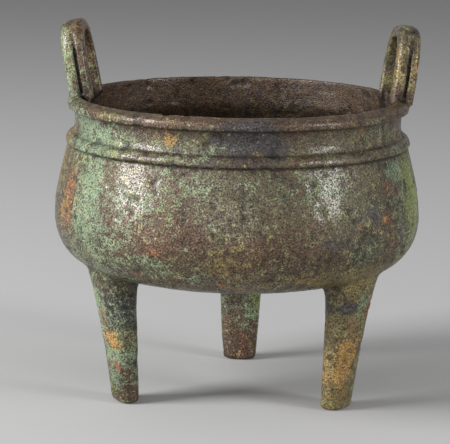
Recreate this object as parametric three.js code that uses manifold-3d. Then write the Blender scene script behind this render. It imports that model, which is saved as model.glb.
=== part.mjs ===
// A round bronze ding: a deep cooking bowl on three legs, with two upright loop ears on its rim.
// It is one casting. Lengths are millimetres and angles are degrees.
// The origin is on the floor, on the bowl's axis, and +Z points up. The front faces -Y.
import * as THREE from 'three';
import { mergeVertices } from 'three/addons/utils/BufferGeometryUtils.js';
import Module from 'manifold-3d';

// Bowl, heights
const RIM_HEIGHT = 179; // floor to the top of the rim
const LIP_DEPTH = 7.8; // rim down to the underside of the lip
const NECK_DEPTH = 15.5; // rim down to the narrowest part of the neck
const LINE_DEPTH = 24.6; // rim down to the middle of the raised line
const SHOULDER_DEPTH = 30; // rim down to the top of the belly
const BELLY_HEIGHT = 108; // floor to the widest circle
const UNDERSIDE_HEIGHT = 65.5; // floor to the lowest point of the bowl
const UNDERSIDE_RISE = 11.1; // lowest point up to where the belly turns

// Bowl, widths
const NECK_RADIUS = 97.3; // at its narrowest
const BELLY_BULGE = 12; // belly beyond the neck
const SHOULDER_STEP = 4.7; // shoulder beyond the neck
const LIP_OVERHANG = 4.4; // lip beyond the neck
const LIP_ROOT = 1.2; // foot of the lip's underside, beyond the neck
const LIP_EDGE = 1.1; // soft lower edge of the lip
const LIP_ROUND = 4.2; // outer corner of the lip
const LIP_FALL = 0.9; // top of the lip, from the flat ring down to the round corner
const LAND_WIDTH = 2.2; // flat ring along the mouth
const BELLY_TURN = 25.3; // underside's edge, in from the belly
const LINE_WIDTH = 6.8;
const LINE_RELIEF = 2.3; // how far the raised line stands proud
const WALL = 3.6; // thickness of the cast wall
const MOUTH_STEP = 0.2; // mouth's edge, in from the inside of the neck

// Legs: the first two stand at the front, the third at the back
const LEG_AZIMUTHS = [208.8, 325.2, 87.5];
const LEG_WIDTHS = [20.9, 22.6, 20.9]; // across the foot, along the bowl's edge
const LEG_DEPTHS = [14, 14.4, 13]; // across the foot, outward
const LEG_SPREAD = 9.4; // how much wider a leg is at the bowl
const LEG_INSET = 43; // inner side of the foot, in from the belly
const LEG_INNER_SLOPE = 3.2; // inner side's way outward, foot to bowl
const LEG_OUTER_SLOPE = 11.2; // outer side's way outward, foot to bowl
const LEG_OUTER_BOW = 1; // hollow of the outer side's line
const LEG_SQUARENESS = 2.5; // 2 is an oval section, more is squarer
const FOOT_ROUND = 2.8; // edge of the foot
const ROOT_FLARE = 3.2; // widening where a leg meets the bowl
const ROOT_OUTER_FLARE = 0.6; // the same on the outer side
const ROOT_REACH = 4.2; // how fast that widening fades

// Ears: left, then right
const EAR_AZIMUTHS = [174, 8.5];
const EAR_LEANS = [11.1, 8.1]; // outward, from upright
const EAR_HEIGHTS = [44, 42.8]; // along the ear, above the rim
const EAR_INSETS = [8.8, 5]; // inner face, in from the mouth's edge
const EAR_GROOVES = [0.42, 0.54]; // groove's place, as a share of the thickness from the inner face
const EAR_WIDTH = 43; // across both limbs, at the rim
const EAR_THICKNESS = 14.4; // inward face to outward face
const EAR_LIMB = 8.6; // one limb, along the rim
const EAR_SQUARENESS = 3; // of the arch: 2 is an ellipse
const GROOVE_WIDTH = 1.3;
const GROOVE_DEPTH = 2.6;
const GROOVE_EDGE = 0.8; // bevel of the groove's edges
const STRAND_ROUND = 5; // how far a strand's round side runs towards the loop
const LOOP_EDGE = 1.2; // bevel of the edges round the loop
const ROOT_DROP = 13; // how far a root runs down the inside of the neck

// Facets
const ROUND_FACETS = 60;
const OUTER_STEPS = 7;
const INNER_STEPS = 4;
const LINE_STEPS = 5;
const LIP_STEPS = 3;
const LEG_FACETS = 20;
const LEG_ROWS = 11;
const FOOT_ROWS = 2;
const EAR_STEPS = 22;
const STRAND_STEPS = 2;

// Where the control points of the bowl's curves lie, as shares of each curve's own width or height
const TURN_REACH = 0.55; // belly's start, outward from the underside
const TURN_LIFT = 0.29; // the same, upward, of the underside's rise
const LOWER_FULLNESS = 0.54; // below the widest circle
const UPPER_FULLNESS = 0.34; // above the widest circle
const SHOULDER_REACH = 0.45; // belly's end, outward from the shoulder
const SHOULDER_LIFT = 0.68; // the same, upward from the widest circle
const NECK_REACH = 0.65; // neck's start, outward from its narrowest part
const NECK_LIFT = 0.45; // the same, upward from the shoulder
const WAIST_DROP = 0.35; // hollow of the neck, down from its narrowest part

const ROOT_CROWDING = 1.6; // how much closer a leg's rings lie at its root
const BISECTION_END = 1e-4; // accuracy of a height found on a curve, as a share of its length

const BRONZE = { name: 'patinated_bronze', color: 0x5f6a4e, roughness: 0.55, metalness: 0.6 };

// Radii and heights that follow from the sizes above
const bellyRadius = NECK_RADIUS + BELLY_BULGE;
const undersideRadius = bellyRadius - BELLY_TURN;
const turnHeight = UNDERSIDE_HEIGHT + UNDERSIDE_RISE;
const lipRadius = NECK_RADIUS + LIP_OVERHANG;
const mouthRadius = NECK_RADIUS - WALL - MOUTH_STEP;
const lineHeight = RIM_HEIGHT - LINE_DEPTH;
const neckHeight = RIM_HEIGHT - NECK_DEPTH;
const shoulderHeight = RIM_HEIGHT - SHOULDER_DEPTH;
const shoulderRadius = NECK_RADIUS + SHOULDER_STEP;
const lipHeight = RIM_HEIGHT - LIP_DEPTH;

const wasm = await Module();
wasm.setup();

const point = (radius, height) => new THREE.Vector2(radius, height);

// A closed mesh, its shared vertices merged and its empty triangles dropped, as a solid.
function toSolid(geometry) {
  geometry.deleteAttribute('normal');
  geometry.deleteAttribute('uv');
  const merged = mergeVertices(geometry);
  const triangles = [];
  for (let i = 0; i < merged.index.count; i += 3) {
    const corners = [0, 1, 2].map((k) => merged.index.getX(i + k));
    if (new Set(corners).size === 3) triangles.push(...corners);
  }
  return new wasm.Manifold(new wasm.Mesh({
    numProp: 3,
    vertProperties: new Float32Array(merged.attributes.position.array),
    triVerts: new Uint32Array(triangles),
  }));
}

// A profile of (radius, height) points turned about +Z. It runs from bottom to top.
function turned(profile) {
  return toSolid(new THREE.LatheGeometry(profile, ROUND_FACETS).rotateX(Math.PI / 2));
}

// The shallow underside, from the axis out to where the belly turns up.
function undersideCurve(steps) {
  const points = [];
  for (let i = 0; i < steps; i += 1) {
    const share = i / steps;
    points.push(point(undersideRadius * share, UNDERSIDE_HEIGHT + UNDERSIDE_RISE * share ** 2));
  }
  return points;
}

// The belly, from the underside's edge round the widest circle to the shoulder.
function bellyCurve(steps) {
  const lower = new THREE.CubicBezierCurve(
    point(undersideRadius, turnHeight),
    point(undersideRadius + BELLY_TURN * TURN_REACH, turnHeight + UNDERSIDE_RISE * TURN_LIFT),
    point(bellyRadius, BELLY_HEIGHT - (BELLY_HEIGHT - turnHeight) * LOWER_FULLNESS),
    point(bellyRadius, BELLY_HEIGHT),
  );
  const rise = shoulderHeight - BELLY_HEIGHT;
  const reach = (bellyRadius - shoulderRadius) * SHOULDER_REACH;
  const upper = new THREE.CubicBezierCurve(
    point(bellyRadius, BELLY_HEIGHT),
    point(bellyRadius, BELLY_HEIGHT + rise * UPPER_FULLNESS),
    point(shoulderRadius + reach, BELLY_HEIGHT + rise * SHOULDER_LIFT),
    point(shoulderRadius, shoulderHeight),
  );
  return [...lower.getPoints(steps), ...upper.getPoints(steps).slice(1)];
}

// The hollow neck, from the shoulder to the underside of the lip, without the raised line.
function neckCurve() {
  const low = point(shoulderRadius, shoulderHeight);
  const waist = point(NECK_RADIUS, neckHeight);
  const high = point(NECK_RADIUS + LIP_ROOT, lipHeight);
  const rise = neckHeight - shoulderHeight;
  const below = new THREE.CubicBezierCurve(
    low,
    point(NECK_RADIUS + SHOULDER_STEP * NECK_REACH, shoulderHeight + rise * NECK_LIFT),
    point(NECK_RADIUS, neckHeight - rise * WAIST_DROP),
    waist,
  );
  const above = new THREE.QuadraticBezierCurve(waist, point(NECK_RADIUS, lipHeight - LIP_ROOT), high);
  return { below, above };
}

// Radius of the plain neck curve at a height between the shoulder and the waist.
function neckRadiusAt(height) {
  const { below } = neckCurve();
  let [low, high] = [0, 1];
  while (high - low > BISECTION_END) {
    const middle = (low + high) / 2;
    if (below.getPoint(middle).y < height) low = middle;
    else high = middle;
  }
  return below.getPoint(low).x;
}

// The raised line: a half-round moulding round the foot of the neck.
function raisedLine() {
  const points = [];
  for (let i = 0; i <= LINE_STEPS; i += 1) {
    const across = -Math.cos((Math.PI * i) / LINE_STEPS);
    const height = lineHeight + (across * LINE_WIDTH) / 2;
    const relief = LINE_RELIEF * Math.sqrt(Math.max(0, 1 - across ** 2));
    points.push(point(neckRadiusAt(height) + relief, height));
  }
  return points;
}

// The lip's outside and top, from its underside to the flat land at the mouth.
function lipCurve() {
  const points = [point(lipRadius - LIP_EDGE, lipHeight), point(lipRadius, lipHeight + LIP_EDGE)];
  const start = RIM_HEIGHT - LIP_FALL - LIP_ROUND;
  for (let i = 0; i <= LIP_STEPS; i += 1) {
    const turn = ((Math.PI / 2) * i) / LIP_STEPS;
    const round = point(LIP_ROUND * (1 - Math.cos(turn)), LIP_ROUND * Math.sin(turn));
    points.push(point(lipRadius - round.x, start + round.y));
  }
  points.push(point(mouthRadius + LAND_WIDTH, RIM_HEIGHT), point(mouthRadius, RIM_HEIGHT));
  return points;
}

// The outside of the bowl from its lowest point to the mouth's edge.
function outerProfile() {
  const { above } = neckCurve();
  const aboveLine = (lineHeight + LINE_WIDTH / 2 + neckHeight) / 2;
  return [
    ...undersideCurve(OUTER_STEPS),
    ...bellyCurve(OUTER_STEPS),
    ...raisedLine(),
    point(neckRadiusAt(aboveLine), aboveLine),
    ...above.getPoints(LIP_STEPS),
    ...lipCurve(),
  ];
}

// The inside of the bowl: the plain outside curves set in by the wall, up to the mouth's edge.
function innerProfile() {
  const neck = neckCurve().below.getPoints(LIP_STEPS).slice(1);
  const plain = [...undersideCurve(INNER_STEPS), ...bellyCurve(INNER_STEPS), ...neck];
  const inset = plain.map((here, i) => {
    const before = plain[Math.max(i - 1, 0)];
    const after = plain[Math.min(i + 1, plain.length - 1)];
    const along = after.clone().sub(before).normalize();
    return point(Math.max(here.x - along.y * WALL, 0), here.y + along.x * WALL);
  });
  inset[0].x = 0;
  return [...inset, point(mouthRadius, RIM_HEIGHT - LAND_WIDTH), point(mouthRadius, RIM_HEIGHT)];
}

// Height of the bowl's underside at a radius from the axis.
function undersideAt(radius) {
  const outside = [...undersideCurve(OUTER_STEPS), ...bellyCurve(OUTER_STEPS)];
  const curve = outside.filter((p) => p.y <= BELLY_HEIGHT);
  const next = curve.findIndex((p) => p.x > radius);
  if (next < 1) return BELLY_HEIGHT;
  const [a, b] = [curve[next - 1], curve[next]];
  return a.y + ((b.y - a.y) * (radius - a.x)) / (b.x - a.x);
}

// Heights of a leg's rings: close together on the foot's edge and at the root.
function legHeights(top) {
  const foot = Array.from({ length: FOOT_ROWS }, (_, i) => (
    FOOT_ROUND * (1 - Math.cos(((Math.PI / 2) * i) / FOOT_ROWS))
  ));
  const shaft = Array.from({ length: LEG_ROWS }, (_, i) => {
    const share = i / (LEG_ROWS - 1);
    return FOOT_ROUND + (top - FOOT_ROUND) * (1 - (1 - share) ** ROOT_CROWDING);
  });
  return [...foot, ...shaft];
}

// One leg: an oval shaft, narrow at the foot, that flares softly where it meets the bowl.
// It runs up into the hollow of the bowl, which is cut out later.
function leg(index) {
  const top = turnHeight + WALL * 2;
  const heights = legHeights(top);
  const geometry = new THREE.CylinderGeometry(1, 1, 1, LEG_FACETS, heights.length - 1);
  const position = geometry.attributes.position;
  for (let i = 0; i < position.count; i += 1) {
    const row = Math.round((position.getY(i) + 0.5) * (heights.length - 1));
    const height = heights[row];
    const share = height / UNDERSIDE_HEIGHT;
    const inner = bellyRadius - LEG_INSET + LEG_INNER_SLOPE * share;
    const bow = LEG_OUTER_BOW * 4 * share * (share - 1);
    const outer = bellyRadius - LEG_INSET + LEG_DEPTHS[index] + LEG_OUTER_SLOPE * share + bow;
    const halfWidth = (LEG_WIDTHS[index] + LEG_SPREAD * share) / 2;
    const edge = FOOT_ROUND - Math.min(height, FOOT_ROUND);
    const trim = FOOT_ROUND - Math.sqrt(FOOT_ROUND ** 2 - edge ** 2);
    const angle = Math.atan2(position.getX(i), position.getZ(i));
    const onAxis = Math.hypot(position.getX(i), position.getZ(i)) < 0.5;
    const [cos, sin] = [Math.cos(angle), Math.sin(angle)].map((v) => (
      Math.sign(v) * Math.abs(v) ** (2 / LEG_SQUARENESS)
    ));
    const middle = (inner + outer) / 2;
    const gap = Math.max(undersideAt(middle + ((outer - inner) / 2) * cos) - height, 0);
    const flare = ROOT_FLARE + (ROOT_OUTER_FLARE - ROOT_FLARE) * Math.max(cos, 0);
    const grow = flare * Math.exp(-gap / ROOT_REACH) - trim;
    const reach = onAxis ? 0 : 1;
    const radial = middle + reach * ((outer - inner) / 2 + grow) * cos;
    const tangential = reach * (halfWidth + grow) * sin;
    position.setXYZ(i, radial, tangential, height);
  }
  return toSolid(geometry.rotateZ(THREE.MathUtils.degToRad(LEG_AZIMUTHS[index])));
}

// The line that an ear's limbs follow: up one root, over the arch and down the other root.
// x runs along the rim and z runs up the ear.
class EarLine extends THREE.Curve {
  constructor(height) {
    super();
    this.halfSpan = (EAR_WIDTH - EAR_LIMB) / 2;
    this.rise = height - EAR_LIMB / 2;
    this.root = ROOT_DROP / (ROOT_DROP * 2 + this.rise * 2 + this.halfSpan);
  }

  getPoint(t, target = new THREE.Vector3()) {
    const side = t < 0.5 ? -1 : 1;
    const along = t < 0.5 ? t : 1 - t;
    if (along < this.root) {
      return target.set(side * this.halfSpan, 0, (along / this.root - 1) * ROOT_DROP);
    }
    const angle = ((along - this.root) / (0.5 - this.root)) * (Math.PI / 2);
    const power = 2 / EAR_SQUARENESS;
    const across = this.halfSpan * Math.cos(angle) ** power;
    return target.set(side * across, 0, this.rise * Math.sin(angle) ** power);
  }
}

// An ear's section: two strands side by side, parted by a groove in the face away from the loop.
// x runs through the ear's thickness from its inward face, and y runs towards the loop.
function earSection(grooveShare) {
  const half = EAR_THICKNESS / 2;
  const outside = -EAR_LIMB / 2;
  const groove = EAR_THICKNESS * grooveShare - half;
  const edge = GROOVE_WIDTH / 2 + GROOVE_EDGE;
  const section = new THREE.Shape();
  section.moveTo(-half, outside + STRAND_ROUND);
  section.quadraticCurveTo(-half, outside, groove - edge, outside);
  section.lineTo(groove - GROOVE_WIDTH / 2, outside + GROOVE_EDGE);
  section.lineTo(groove, outside + GROOVE_DEPTH);
  section.lineTo(groove + GROOVE_WIDTH / 2, outside + GROOVE_EDGE);
  section.lineTo(groove + edge, outside);
  section.quadraticCurveTo(half, outside, half, outside + STRAND_ROUND);
  section.lineTo(half, -outside - LOOP_EDGE);
  section.lineTo(half - LOOP_EDGE, -outside);
  section.lineTo(-half + LOOP_EDGE, -outside);
  section.lineTo(-half, -outside - LOOP_EDGE);
  section.closePath();
  return section;
}

// The space that an ear may fill: above the rim, and below it only as a root on the neck's inside.
function earRoom(inset) {
  const far = lipRadius + EAR_THICKNESS * 2;
  const sky = RIM_HEIGHT + EAR_HEIGHTS[0] + EAR_HEIGHTS[1];
  const rootRadius = NECK_RADIUS - WALL / 2;
  const near = mouthRadius - inset;
  return turned([
    point(near - EAR_THICKNESS, RIM_HEIGHT),
    point(near, RIM_HEIGHT - LAND_WIDTH / 2),
    point(rootRadius - WALL / 2, RIM_HEIGHT - ROOT_DROP + WALL),
    point(rootRadius, RIM_HEIGHT - ROOT_DROP + WALL),
    point(rootRadius, RIM_HEIGHT - LIP_DEPTH / 2),
    point(far, RIM_HEIGHT - LIP_DEPTH / 2),
    point(far, sky),
    point(near - EAR_THICKNESS, sky),
    point(near - EAR_THICKNESS, RIM_HEIGHT),
  ]);
}

// One ear, leaning outward, with its roots in the lip and on the inside of the neck.
function ear(index) {
  const geometry = new THREE.ExtrudeGeometry(earSection(EAR_GROOVES[index]), {
    steps: EAR_STEPS,
    curveSegments: STRAND_STEPS,
    bevelEnabled: false,
    extrudePath: new EarLine(EAR_HEIGHTS[index]),
  });
  const inward = mouthRadius - EAR_INSETS[index];
  geometry.rotateZ(Math.PI / 2);
  geometry.rotateY(THREE.MathUtils.degToRad(EAR_LEANS[index]));
  geometry.translate(inward + EAR_THICKNESS / 2, 0, RIM_HEIGHT);
  geometry.rotateZ(THREE.MathUtils.degToRad(EAR_AZIMUTHS[index]));
  return toSolid(geometry).intersect(earRoom(EAR_INSETS[index]));
}

// The whole casting: bowl and legs, hollowed out, with the ears joined on.
function casting() {
  const outer = outerProfile();
  const inner = innerProfile();
  const above = RIM_HEIGHT + WALL;
  let body = turned([...outer, point(0, RIM_HEIGHT)]);
  LEG_AZIMUTHS.forEach((_, i) => {
    body = body.add(leg(i));
  });
  body = body.subtract(turned([...inner, point(mouthRadius, above), point(0, above)]));
  EAR_AZIMUTHS.forEach((_, i) => {
    body = body.add(ear(i));
  });
  return body;
}

// A solid as a named mesh with its finish.
function toMesh(name, solid) {
  const { vertProperties, triVerts } = solid.getMesh();
  const geometry = new THREE.BufferGeometry();
  geometry.setAttribute('position', new THREE.BufferAttribute(vertProperties, 3));
  geometry.setIndex(new THREE.BufferAttribute(triVerts, 1));
  geometry.computeVertexNormals();
  const mesh = new THREE.Mesh(geometry, new THREE.MeshStandardMaterial(BRONZE));
  mesh.name = name;
  return mesh;
}

const ding = new THREE.Group();
ding.add(toMesh('ding_vessel', casting()));

export default ding;
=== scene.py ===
"""A round bronze ding vessel with a mottled green patina, in a plain pale studio.

The casting is described as a signed-distance form: turned sections for the bowl, tapered oval
shafts for the legs and swept strands for the ears. It is meshed as one closed surface,
roughened as a long buried bronze is, and painted with the stains of its patina.
Lengths are millimetres until the mesh is made, which is in metres. The front faces -Y, and a
turn is an angle in degrees round the axis from the front, towards +X.
"""

import logging
import math
from dataclasses import dataclass
from enum import Enum

import bpy
import numpy as np
from mathutils import Matrix, Vector

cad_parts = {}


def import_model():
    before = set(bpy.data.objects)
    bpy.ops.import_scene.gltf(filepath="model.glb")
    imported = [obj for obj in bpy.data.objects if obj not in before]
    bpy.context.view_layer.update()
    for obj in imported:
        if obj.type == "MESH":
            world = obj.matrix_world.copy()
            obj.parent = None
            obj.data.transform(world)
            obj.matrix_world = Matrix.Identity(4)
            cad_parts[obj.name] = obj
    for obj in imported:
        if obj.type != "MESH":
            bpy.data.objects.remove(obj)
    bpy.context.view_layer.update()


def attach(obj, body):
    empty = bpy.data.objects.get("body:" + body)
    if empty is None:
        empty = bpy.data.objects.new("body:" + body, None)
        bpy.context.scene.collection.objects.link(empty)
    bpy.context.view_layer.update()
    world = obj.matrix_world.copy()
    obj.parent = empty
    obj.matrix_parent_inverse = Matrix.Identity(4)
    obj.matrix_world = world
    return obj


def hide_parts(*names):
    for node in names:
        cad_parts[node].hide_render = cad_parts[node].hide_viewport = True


log = logging.getLogger("ding")

MM = 0.001
NODE = "ding_vessel"
# Name of the attribute that holds the painted shade of the recesses
PAINTED_RECESS_SHADE = "painted_recess_shade"

Socket = bpy.types.NodeSocket
Input = Socket | float | tuple[float, ...]


class Tint(Enum):
    """The corrosion colours that the stains of the patina add."""

    OLIVE = "olive"
    KHAKI = "khaki"
    CUPRITE = "cuprite"
    PLUM = "plum"
    MALACHITE = "malachite"
    VERDIGRIS = "verdigris"
    RUST = "rust"
    OCHRE = "ochre"


def smooth_union(a: np.ndarray, b: np.ndarray, fillet: float) -> np.ndarray:
    """Joins two distance fields with a soft fillet.

    Args:
        a: Distances to the first form.
        b: Distances to the second form.
        fillet: Width over which the two forms run into each other.

    Returns:
        Distances to the joined form.
    """
    near = np.maximum(fillet - np.abs(a - b), 0) / fillet
    return np.minimum(a, b) - near * near * fillet / 4


def smooth_curve(controls: list[tuple[float, float]], steps: int) -> list[tuple[float, float]]:
    """Points along a smooth curve that its inner points pull towards them, both ends included.

    Args:
        controls: The first point, the pulling points in order, and the last point.
        steps: Number of steps along the curve.

    Returns:
        The points as (across, up) pairs.
    """
    share = np.linspace(0, 1, steps + 1)[:, None]
    row = [np.array(c, float)[None, :] + 0 * share for c in controls]
    while len(row) > 1:
        row = [a + (b - a) * share for a, b in zip(row, row[1:])]
    return [tuple(p) for p in row[0]]


def turn_to_point(turn: float, radius: float) -> tuple[float, float]:
    """The x and y of a place at a turn and a radius."""
    angle = math.radians(turn)
    return radius * math.sin(angle), -radius * math.cos(angle)


class Section:
    """A plane outline, sampled as signed distance, negative inside."""

    # Just over one step, so that a place on the last sample still has a cell round it
    LAST_CELL = 1.001

    def __init__(self, outline: list[tuple[float, float]], step: float, closed: bool = True,
                 margin: float = 14.0) -> None:
        """Samples the outline.

        Args:
            outline: Corner points in order.
            step: Spacing of the samples.
            closed: Whether the last edge, back to the first point, is a surface too.
            margin: How far the samples reach beyond the outline.
        """
        corners = np.asarray(outline, float)
        self.step = step
        self.low = corners.min(0) - margin
        counts = np.ceil((corners.max(0) + margin - self.low) / step).astype(int) + 1
        x, y = np.meshgrid(self.low[0] + step * np.arange(counts[0]),
                           self.low[1] + step * np.arange(counts[1]), indexing="ij")
        nearest = np.full(x.shape, np.inf)
        inside = np.zeros(x.shape, bool)
        for i, (start, end) in enumerate(zip(corners, np.roll(corners, -1, 0))):
            way = end - start
            if not way.any():
                continue
            share = np.clip(((x - start[0]) * way[0] + (y - start[1]) * way[1]) / (way @ way), 0, 1)
            if closed or i < len(corners) - 1:
                gap = (x - start[0] - share * way[0]) ** 2 + (y - start[1] - share * way[1]) ** 2
                nearest = np.minimum(nearest, gap)
            if way[1]:
                crosses = (start[1] > y) != (end[1] > y)
                inside ^= crosses & (x < start[0] + (y - start[1]) * way[0] / way[1])
        self.values = (np.where(inside, -1, 1) * np.sqrt(nearest)).astype(np.float32)

    def distance(self, across: np.ndarray, up: np.ndarray) -> np.ndarray:
        """Signed distance at places in the outline's plane.

        Args:
            across: First coordinates.
            up: Second coordinates.

        Returns:
            Distances, negative inside the outline.
        """
        top = np.array(self.values.shape) - self.LAST_CELL
        u = np.clip((across - self.low[0]) / self.step, 0, top[0])
        v = np.clip((up - self.low[1]) / self.step, 0, top[1])
        i, j = u.astype(np.int32), v.astype(np.int32)
        u, v = u - i, v - j
        grid = self.values
        low = grid[i, j] * (1 - u) + grid[i + 1, j] * u
        high = grid[i, j + 1] * (1 - u) + grid[i + 1, j + 1] * u
        return low * (1 - v) + high * v


@dataclass(frozen=True)
class Noise:
    """Smooth seeded lumps in space, from about -1 to 1."""

    seed: int
    size: float
    octaves: int = 1

    TABLE = 4096
    HASH = (73856093, 19349663, 83492791)
    HASH_SHIFT = 13
    OCTAVE_OFFSET = 17.3
    GAIN = 1.6

    def _layer(self, places: np.ndarray, table: np.ndarray) -> np.ndarray:
        """One octave: random values on a unit lattice, blended smoothly between its points.

        Args:
            places: Places in lattice units, one row each.
            table: The random values that the lattice points pick from.

        Returns:
            One value for each place.
        """
        cell = np.floor(places).astype(np.int64)
        share = places - cell
        share = share ** 3 * (share * (share * 6 - 15) + 10)
        total = np.zeros(len(places))
        for corner in range(8):
            step = np.array([corner & 1, corner >> 1 & 1, corner >> 2 & 1])
            key = (cell + step) @ np.array(self.HASH)
            weight = np.prod(np.where(step, share, 1 - share), axis=1)
            total += weight * table[(key ^ key >> self.HASH_SHIFT) % self.TABLE]
        return total

    def at(self, points: np.ndarray) -> np.ndarray:
        """The noise at points in millimetres.

        Args:
            points: Places, one row each.

        Returns:
            One value for each place.
        """
        table = np.random.default_rng(self.seed).uniform(-1, 1, self.TABLE)
        total, reach, loud = np.zeros(len(points)), 0.0, 1.0
        for octave in range(self.octaves):
            offset = self.OCTAVE_OFFSET * (octave + self.seed)
            places = points / self.size * 2 ** octave + offset
            total += loud * self._layer(places, table)
            reach += loud
            loud /= 2
        return total * self.GAIN / reach


@dataclass(frozen=True)
class Bowl:
    """The turned bowl, with its raised line, hollow neck and lip."""

    # Heights above the floor and depths below the rim
    rim_height: float = 179.0
    lip_depth: float = 7.8
    neck_depth: float = 15.5
    line_depth: float = 24.6
    shoulder_depth: float = 30.0
    belly_height: float = 108.0
    underside_height: float = 65.5
    underside_rise: float = 11.1
    # Radius of the neck, and what the other circles differ from it or from the belly
    neck_radius: float = 97.3
    belly_bulge: float = 12.0
    shoulder_step: float = 4.7
    lip_overhang: float = 4.4
    mouth_step: float = 0.2
    belly_turn: float = 25.3
    # Wall, raised line, and the roundings and land of the lip
    wall: float = 3.6
    line_width: float = 6.8
    line_relief: float = 2.3
    lip_root: float = 1.2
    lip_edge: float = 1.1
    lip_round: float = 4.2
    lip_fall: float = 0.9
    land_width: float = 2.2
    # Shares that shape the curves of the belly and the neck
    turn_reach: float = 0.55
    turn_lift: float = 0.29
    lower_fullness: float = 0.54
    upper_fullness: float = 0.34
    shoulder_reach: float = 0.45
    shoulder_lift: float = 0.68
    neck_reach: float = 0.65
    neck_lift: float = 0.45
    waist_drop: float = 0.35
    # How far the hollow runs on above the mouth, and how finely all is sampled
    sky: float = 20.0
    sample: float = 0.4
    steps: int = 24
    line_steps: int = 96
    corner_steps: int = 12

    @property
    def belly_radius(self) -> float:
        """Radius of the widest circle."""
        return self.neck_radius + self.belly_bulge

    @property
    def mouth_radius(self) -> float:
        """Radius of the mouth's inner edge."""
        return self.neck_radius - self.wall - self.mouth_step

    @property
    def lip_radius(self) -> float:
        """Radius of the lip's outer edge."""
        return self.neck_radius + self.lip_overhang

    def underside(self) -> list[tuple[float, float]]:
        """The shallow underside, from the axis out to where the belly turns up.

        Returns:
            Points as (radius, height) pairs.
        """
        edge = self.belly_radius - self.belly_turn
        shares = np.arange(self.steps) / self.steps
        return [(edge * s, self.underside_height + self.underside_rise * s * s) for s in shares]

    def belly(self) -> list[tuple[float, float]]:
        """The belly, from the underside's edge round the widest circle to the shoulder.

        Returns:
            Points as (radius, height) pairs.
        """
        edge = self.belly_radius - self.belly_turn
        turn = self.underside_height + self.underside_rise
        widest, height = self.belly_radius, self.belly_height
        shoulder = (self.neck_radius + self.shoulder_step, self.rim_height - self.shoulder_depth)
        rise = shoulder[1] - height
        reach = (widest - shoulder[0]) * self.shoulder_reach
        lower = smooth_curve([
            (edge, turn),
            (edge + self.belly_turn * self.turn_reach, turn + self.underside_rise * self.turn_lift),
            (widest, height - (height - turn) * self.lower_fullness),
            (widest, height),
        ], self.steps)
        upper = smooth_curve([
            (widest, height),
            (widest, height + rise * self.upper_fullness),
            (shoulder[0] + reach, height + rise * self.shoulder_lift),
            shoulder,
        ], self.steps)
        return lower + upper[1:]

    def neck(self) -> list[tuple[float, float]]:
        """The lower neck, from the shoulder up to its narrowest part, without the raised line.

        Returns:
            Points as (radius, height) pairs.
        """
        low, high = self.rim_height - self.shoulder_depth, self.rim_height - self.neck_depth
        return smooth_curve([
            (self.neck_radius + self.shoulder_step, low),
            (self.neck_radius + self.shoulder_step * self.neck_reach,
             low + (high - low) * self.neck_lift),
            (self.neck_radius, high - (high - low) * self.waist_drop),
            (self.neck_radius, high),
        ], self.steps)

    def lined_neck(self) -> list[tuple[float, float]]:
        """The lower neck with the half-round raised line at its foot.

        Returns:
            Points as (radius, height) pairs.
        """
        plain = np.array(self.neck())
        heights = np.linspace(plain[0, 1], plain[-1, 1], self.line_steps)
        radii = np.interp(heights, plain[:, 1], plain[:, 0])
        across = (heights - self.rim_height + self.line_depth) / (self.line_width / 2)
        radii += self.line_relief * np.sqrt(np.maximum(1 - across ** 2, 0))
        return list(zip(radii, heights))

    def lip(self) -> list[tuple[float, float]]:
        """The lip, from the narrowest part of the neck over the rim to the mouth's edge.

        Returns:
            Points as (radius, height) pairs.
        """
        under = self.rim_height - self.lip_depth
        rising = smooth_curve([
            (self.neck_radius, self.rim_height - self.neck_depth),
            (self.neck_radius, under - self.lip_root),
            (self.neck_radius + self.lip_root, under),
        ], self.steps)
        start = self.rim_height - self.lip_fall - self.lip_round
        corner = [
            (self.lip_radius - self.lip_round * (1 - math.cos(t)), start + self.lip_round * math.sin(t))
            for t in np.linspace(0, math.pi / 2, self.corner_steps)
        ]
        return [*rising[1:], (self.lip_radius - self.lip_edge, under),
                (self.lip_radius, under + self.lip_edge), *corner,
                (self.mouth_radius + self.land_width, self.rim_height),
                (self.mouth_radius, self.rim_height)]

    def outside(self) -> Section:
        """The bowl as if it were filled to the rim.

        Returns:
            The section that turns round the axis.
        """
        outline = [*self.underside(), *self.belly(), *self.lined_neck()[1:], *self.lip(),
                   (0, self.rim_height)]
        return Section(outline, self.sample, closed=False)

    def hollow(self) -> Section:
        """The hollow inside the wall, running on above the mouth.

        Returns:
            The section that turns round the axis.
        """
        plain = np.array([*self.underside(), *self.belly(), *self.neck()[1:]])
        way = np.gradient(plain, axis=0)
        way /= np.linalg.norm(way, axis=1)[:, None]
        inner = plain + self.wall * np.stack([-way[:, 1], way[:, 0]], 1)
        inner = [(max(x, 0), z) for x, z in inner]
        above = self.rim_height + self.sky
        return Section([*inner, (self.mouth_radius, self.rim_height - self.land_width),
                        (self.mouth_radius, above), (0, above)], self.sample, closed=False)


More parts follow.
